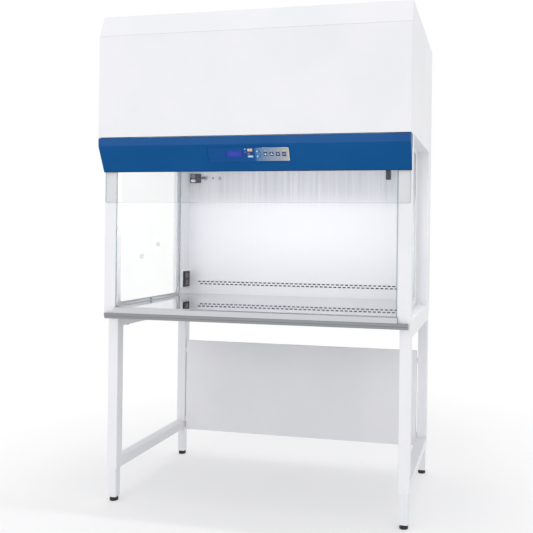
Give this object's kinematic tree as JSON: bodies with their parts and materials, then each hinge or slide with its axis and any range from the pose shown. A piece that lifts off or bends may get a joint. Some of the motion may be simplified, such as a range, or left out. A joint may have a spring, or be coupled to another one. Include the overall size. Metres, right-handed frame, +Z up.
{
  "type": "laminar flow hood",
  "caption": "Vertical laminar flow hood with a deep work chamber, side windows, front glass, blue control fascia and a stand with telescoping legs.",
  "frame": {"origin": "floor level under the middle of the cabinet's bounding box", "axes": "+X to the object's right seen from the front, front faces -Y, +Z up"},
  "size_m": [1.34, 0.805, 2.108],
  "materials": {
    "white_paint": "white powder coat, fine satin texture",
    "blue_paint": "blue powder coat, satin",
    "stainless": "brushed stainless sheet",
    "zinc_steel": "zinc plated steel",
    "clear_glass": "clear tempered float glass with green edges",
    "white_plastic": "satin white moulding",
    "dark_plastic": "dark grey moulding",
    "foot_rubber": "dark rubber",
    "gasket_rubber": "black foam rubber",
    "filter_paper": "white pleated glass-fibre paper",
    "filter_pad": "white non-woven pad",
    "bare_aluminium": "mill finish aluminium",
    "panel_print": "printed film in blue and silver grey",
    "display_window": "dark display window",
    "lens": "small coloured lenses",
    "key_blue": "dark blue domed keys with white signs",
    "key_tan": "tan key",
    "key_light_grey": "light grey keys",
    "circuit_board": "green circuit board",
    "lamp_glass": "white lamp tube"
  },
  "bodies": {
    "cabinet": {"back_panel": "white_paint", "base_pan": "stainless", "blower_motor": "zinc_steel", "blower_scroll": "zinc_steel", "control_fascia": "blue_paint", "diffuser": "white_paint", "electrical_box": "zinc_steel", "filter_frame": "bare_aluminium", "filter_gasket": "gasket_rubber", "filter_media": "filter_paper", "front_cover": "white_paint", "front_visor": "clear_glass", "hex_bolts": "zinc_steel", "hole_plugs": "white_plastic", "hood_case": "white_paint", "indicator_lenses": "lens", "keypad_board": "circuit_board", "lamp_holders": "dark_plastic", "lamp_tube": "lamp_glass", "mains_inlet": "dark_plastic", "outlet_frame": "dark_plastic", "outlet_plate": "white_plastic", "panel_display": "display_window", "panel_overlay": "panel_print", "panel_tray": "dark_plastic", "plenum_deck": "zinc_steel", "prefilter_pad": "filter_pad", "rear_wall": "stainless", "screws": "zinc_steel", "service_cock": "bare_aluminium", "side_liner_left": "white_paint", "side_liner_right": "white_paint", "side_pane_left": "clear_glass", "side_pane_right": "clear_glass", "side_tray_left": "white_paint", "side_tray_right": "white_paint", "stand_frame_left": "white_paint", "stand_frame_right": "white_paint", "stand_panel": "white_paint", "visor_rail": "white_paint", "worktop": "stainless"},
    "rotor": {"impeller": "bare_aluminium"},
    "cock_lever": {"cock_lever": "dark_plastic"},
    "key_light": {"key_light": "key_blue"},
    "key_fan": {"key_fan": "key_blue"},
    "key_lamp": {"key_lamp": "key_blue"},
    "key_socket": {"key_socket": "key_blue"},
    "key_up": {"key_up": "key_light_grey"},
    "key_down": {"key_down": "key_light_grey"},
    "key_set": {"key_set": "key_tan"},
    "key_menu": {"key_menu": "key_light_grey"},
    "key_mute": {"key_mute": "key_light_grey"},
    "inner_leg_front_left": {"inner_leg_front_left": "white_paint"},
    "foot_front_left": {"foot_front_left": "foot_rubber"},
    "inner_leg_front_right": {"inner_leg_front_right": "white_paint"},
    "foot_front_right": {"foot_front_right": "foot_rubber"},
    "inner_leg_rear_left": {"inner_leg_rear_left": "white_paint"},
    "foot_rear_left": {"foot_rear_left": "foot_rubber"},
    "inner_leg_rear_right": {"inner_leg_rear_right": "white_paint"},
    "foot_rear_right": {"foot_rear_right": "foot_rubber"}
  },
  "joints": [
    {"name": "fan_spin", "type": "hinge", "parent": "cabinet", "child": "rotor", "pos_m": [0, 0.01, 1.905], "axis": [0, 1, 0], "continuous": true},
    {"name": "cock_turn", "type": "hinge", "parent": "cabinet", "child": "cock_lever", "pos_m": [-0.526, 0.3356, 1.476], "axis": [0, 1, 0], "range_deg": [-90, 0]},
    {"name": "key_light_press", "type": "slide", "parent": "cabinet", "child": "key_light", "axis": [0, 0.9187, 0.395], "range_m": [0, 0.0008], "stiffness_N_per_m": 300, "springref_m": -0.001},
    {"name": "key_fan_press", "type": "slide", "parent": "cabinet", "child": "key_fan", "axis": [0, 0.9187, 0.395], "range_m": [0, 0.0008], "stiffness_N_per_m": 300, "springref_m": -0.001},
    {"name": "key_lamp_press", "type": "slide", "parent": "cabinet", "child": "key_lamp", "axis": [0, 0.9187, 0.395], "range_m": [0, 0.0008], "stiffness_N_per_m": 300, "springref_m": -0.001},
    {"name": "key_socket_press", "type": "slide", "parent": "cabinet", "child": "key_socket", "axis": [0, 0.9187, 0.395], "range_m": [0, 0.0008], "stiffness_N_per_m": 300, "springref_m": -0.001},
    {"name": "key_up_press", "type": "slide", "parent": "cabinet", "child": "key_up", "axis": [0, 0.9187, 0.395], "range_m": [0, 0.0008], "stiffness_N_per_m": 300, "springref_m": -0.001},
    {"name": "key_down_press", "type": "slide", "parent": "cabinet", "child": "key_down", "axis": [0, 0.9187, 0.395], "range_m": [0, 0.0008], "stiffness_N_per_m": 300, "springref_m": -0.001},
    {"name": "key_set_press", "type": "slide", "parent": "cabinet", "child": "key_set", "axis": [0, 0.9187, 0.395], "range_m": [0, 0.0008], "stiffness_N_per_m": 300, "springref_m": -0.001},
    {"name": "key_menu_press", "type": "slide", "parent": "cabinet", "child": "key_menu", "axis": [0, 0.9187, 0.395], "range_m": [0, 0.0008], "stiffness_N_per_m": 300, "springref_m": -0.001},
    {"name": "key_mute_press", "type": "slide", "parent": "cabinet", "child": "key_mute", "axis": [0, 0.9187, 0.395], "range_m": [0, 0.0008], "stiffness_N_per_m": 300, "springref_m": -0.001},
    {"name": "inner_leg_front_left_slide", "type": "slide", "parent": "cabinet", "child": "inner_leg_front_left", "axis": [0, 0, -1], "range_m": [-0.1, 0.1]},
    {"name": "foot_front_left_screw", "type": "slide", "parent": "inner_leg_front_left", "child": "foot_front_left", "axis": [0, 0, -1], "range_m": [0, 0.025]},
    {"name": "inner_leg_front_right_slide", "type": "slide", "parent": "cabinet", "child": "inner_leg_front_right", "axis": [0, 0, -1], "range_m": [-0.1, 0.1]},
    {"name": "foot_front_right_screw", "type": "slide", "parent": "inner_leg_front_right", "child": "foot_front_right", "axis": [0, 0, -1], "range_m": [0, 0.025]},
    {"name": "inner_leg_rear_left_slide", "type": "slide", "parent": "cabinet", "child": "inner_leg_rear_left", "axis": [0, 0, -1], "range_m": [-0.1, 0.1]},
    {"name": "foot_rear_left_screw", "type": "slide", "parent": "inner_leg_rear_left", "child": "foot_rear_left", "axis": [0, 0, -1], "range_m": [0, 0.025]},
    {"name": "inner_leg_rear_right_slide", "type": "slide", "parent": "cabinet", "child": "inner_leg_rear_right", "axis": [0, 0, -1], "range_m": [-0.1, 0.1]},
    {"name": "foot_rear_right_screw", "type": "slide", "parent": "inner_leg_rear_right", "child": "foot_rear_right", "axis": [0, 0, -1], "range_m": [0, 0.025]}
  ]
}
